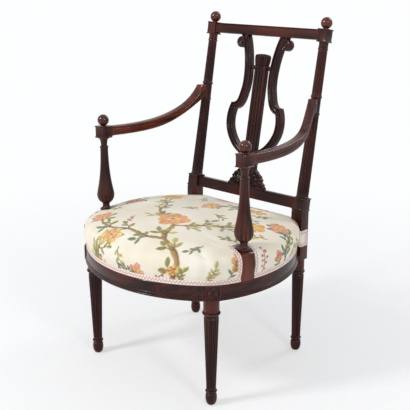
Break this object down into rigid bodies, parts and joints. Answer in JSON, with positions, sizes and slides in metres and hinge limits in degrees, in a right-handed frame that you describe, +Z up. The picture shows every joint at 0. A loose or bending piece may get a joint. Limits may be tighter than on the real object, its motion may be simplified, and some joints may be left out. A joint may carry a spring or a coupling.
{
  "type": "desk armchair",
  "caption": "Open armchair with a lyre splat, turned and fluted legs, swept arms on baluster supports, ball finials and a round seat stuffed over the rail.",
  "frame": {"origin": "on the floor, under the middle of the whole chair", "axes": "+Z up, the sitter faces -Y, +X to the right as seen from in front of the chair"},
  "size_m": [0.5818, 0.6165, 0.9485],
  "materials": {
    "mahogany": "waxed polish, dark red-brown",
    "mahogany_light": "waxed polish, orange-brown where it is worn",
    "beech": "raw",
    "brass": "dull",
    "steel": "blued",
    "webbing": "coarse weave",
    "hessian": "open weave",
    "horsehair": "loose fibre",
    "printed_cotton": "plain weave with a flowering-branch print",
    "braid": "woven zig-zag braid"
  },
  "bodies": {
    "root": {"front_left_leg": "mahogany", "front_right_leg": "mahogany", "rear_left_post": "mahogany", "rear_right_post": "mahogany", "front_rail": "mahogany", "left_rail": "mahogany", "right_rail": "mahogany", "rear_rail": "mahogany", "crest_rail": "mahogany", "lower_back_rail": "mahogany", "left_arm": "mahogany_light", "right_arm": "mahogany_light", "left_arm_support": "mahogany", "right_arm_support": "mahogany", "back_left_finial": "mahogany", "back_right_finial": "mahogany", "arm_left_finial": "mahogany_light", "arm_right_finial": "mahogany_light", "lyre_left_branch": "mahogany", "lyre_right_branch": "mahogany", "lyre_stem": "mahogany", "lyre_crossbar": "mahogany", "lyre_base": "mahogany", "corner_blocks": "beech", "corner_screws": "brass", "arm_screws": "brass", "stump_screws": "brass", "joint_pegs": "beech", "seat_webbing": "webbing", "seat_hessian": "hessian", "webbing_tacks": "steel", "seat_padding": "horsehair", "seat_cover": "printed_cotton", "gimp_braid": "braid"}
  },
  "joints": []
}
